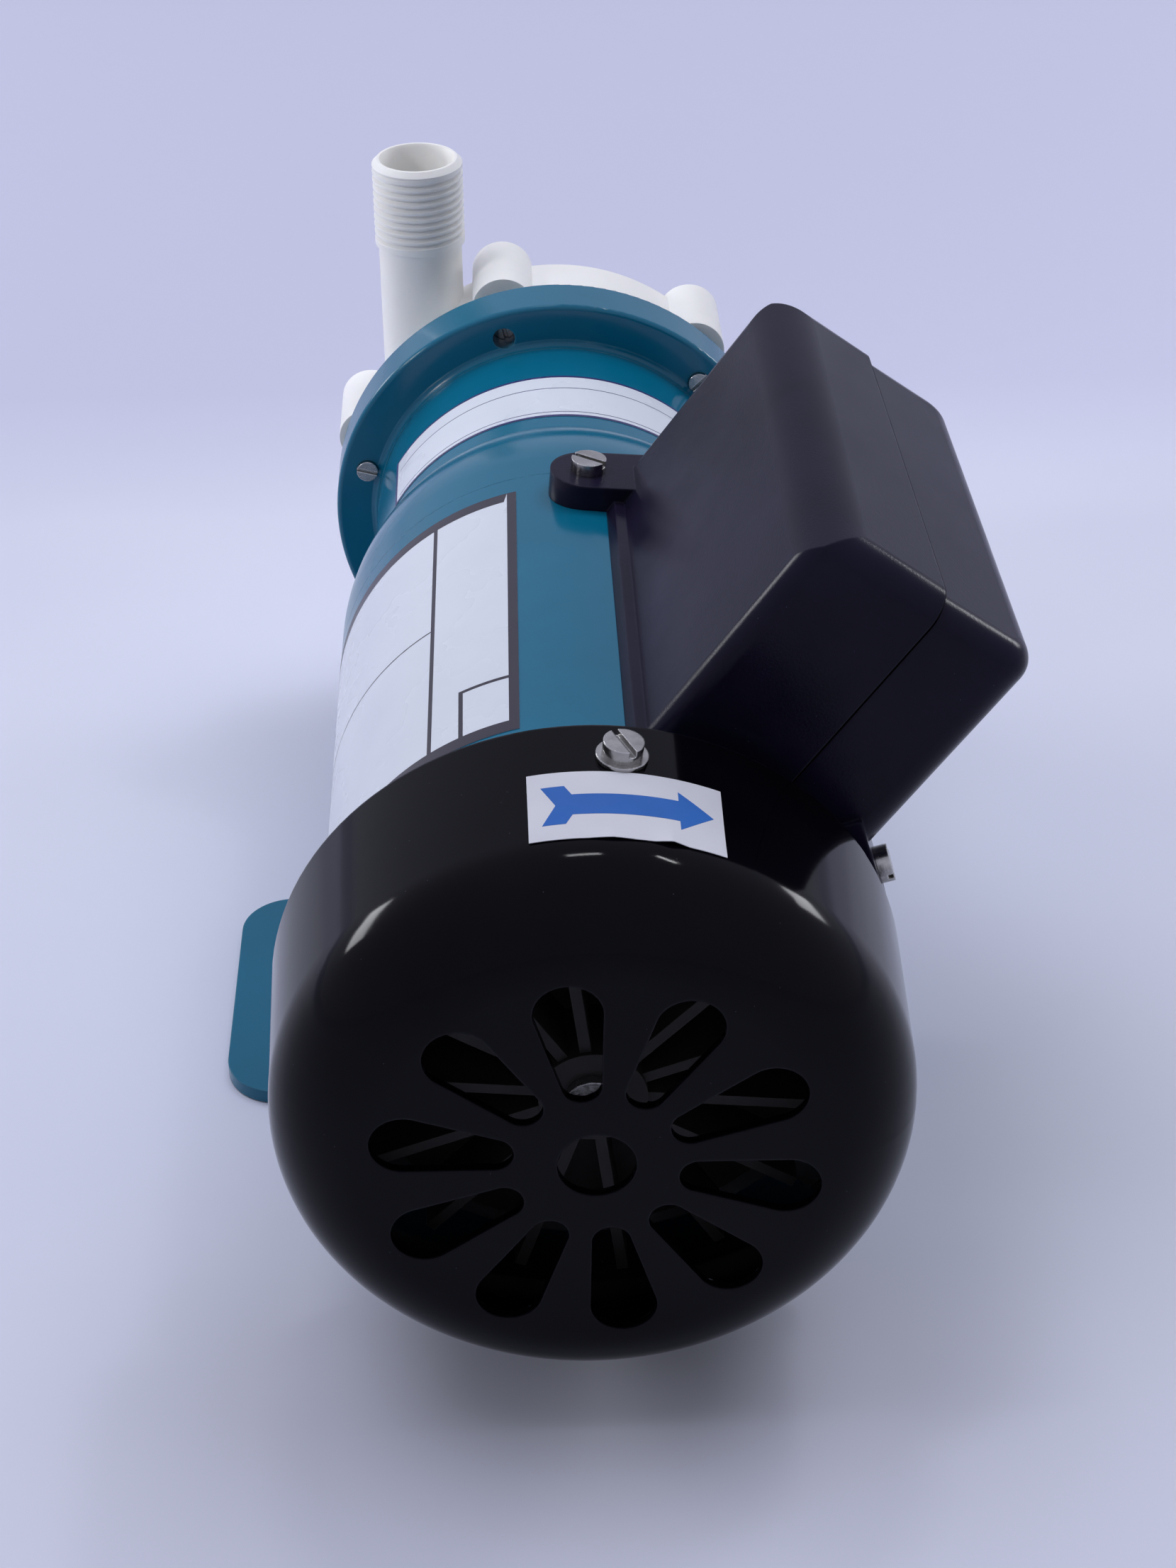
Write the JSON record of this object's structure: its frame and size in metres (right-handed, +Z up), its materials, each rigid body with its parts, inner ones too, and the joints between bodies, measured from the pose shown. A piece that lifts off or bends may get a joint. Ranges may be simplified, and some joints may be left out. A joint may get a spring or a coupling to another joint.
{
  "type": "magnetic_drive_pump",
  "caption": "Sealless magnetic drive pump with a fan cooled teal motor, black fan cover and terminal box, and a white plastic pump head with a threaded discharge pipe",
  "frame": {"origin": "centre of the foot's bolt pattern, on the mounting plane", "axes": "X to the right seen from the fan end, Y along the shaft from the fan to the pump head, Z up"},
  "size_m": [0.1513, 0.306, 0.15],
  "materials": {
    "teal_paint": "gloss",
    "cast_aluminium": "satin",
    "core_steel": "satin",
    "winding_copper": "gloss",
    "bearing_steel": "gloss",
    "cover_black": "gloss",
    "bright_steel": "satin",
    "box_black": "satin",
    "capacitor_white": "satin",
    "block_cream": "satin",
    "seal_rubber": "matte",
    "head_white": "satin",
    "ceramic_ivory": "gloss",
    "fan_black": "matte",
    "magnet_grey": "satin",
    "bush_carbon": "satin"
  },
  "bodies": {
    "pump_body": {"motor_shell": "teal_paint", "mounting_foot": "teal_paint", "pump_bracket": "teal_paint", "rear_end_shield": "cast_aluminium", "stator_core": "core_steel", "stator_winding": "winding_copper", "front_bearing": "bearing_steel", "rear_bearing": "bearing_steel", "fan_cover": "cover_black", "fan_cover_washers": "bright_steel", "fan_cover_screws": "bright_steel", "box_left_shell": "box_black", "box_right_shell": "box_black", "box_screws": "bright_steel", "run_capacitor": "capacitor_white", "terminal_block": "block_cream", "cable_grommet": "seal_rubber", "rear_casing": "head_white", "front_casing": "head_white", "casing_oring": "seal_rubber", "casing_studs": "bright_steel", "casing_washers": "bright_steel", "casing_nuts": "bright_steel", "impeller_spindle": "ceramic_ivory", "thrust_ring": "ceramic_ivory"},
    "motor_rotor": {"motor_shaft": "bright_steel", "rotor_core": "core_steel", "rotor_end_rings": "cast_aluminium", "cooling_fan": "fan_black", "drive_hub": "core_steel", "drive_magnets": "magnet_grey", "hub_set_screw": "bright_steel"},
    "impeller_rotor": {"impeller": "head_white", "driven_magnet": "magnet_grey", "magnet_cap": "head_white", "impeller_bush": "bush_carbon"}
  },
  "joints": [
    {"name": "shaft_spin", "type": "hinge", "parent": "pump_body", "child": "motor_rotor", "pos_m": [0, 0, 0.063], "axis": [0, 1, 0], "continuous": true},
    {"name": "impeller_spin", "type": "hinge", "parent": "pump_body", "child": "impeller_rotor", "pos_m": [0, 0, 0.063], "axis": [0, 1, 0], "continuous": true}
  ],
  "couplings": [
    {"joint": "impeller_spin", "follows": "shaft_spin", "ratio": 1}
  ]
}
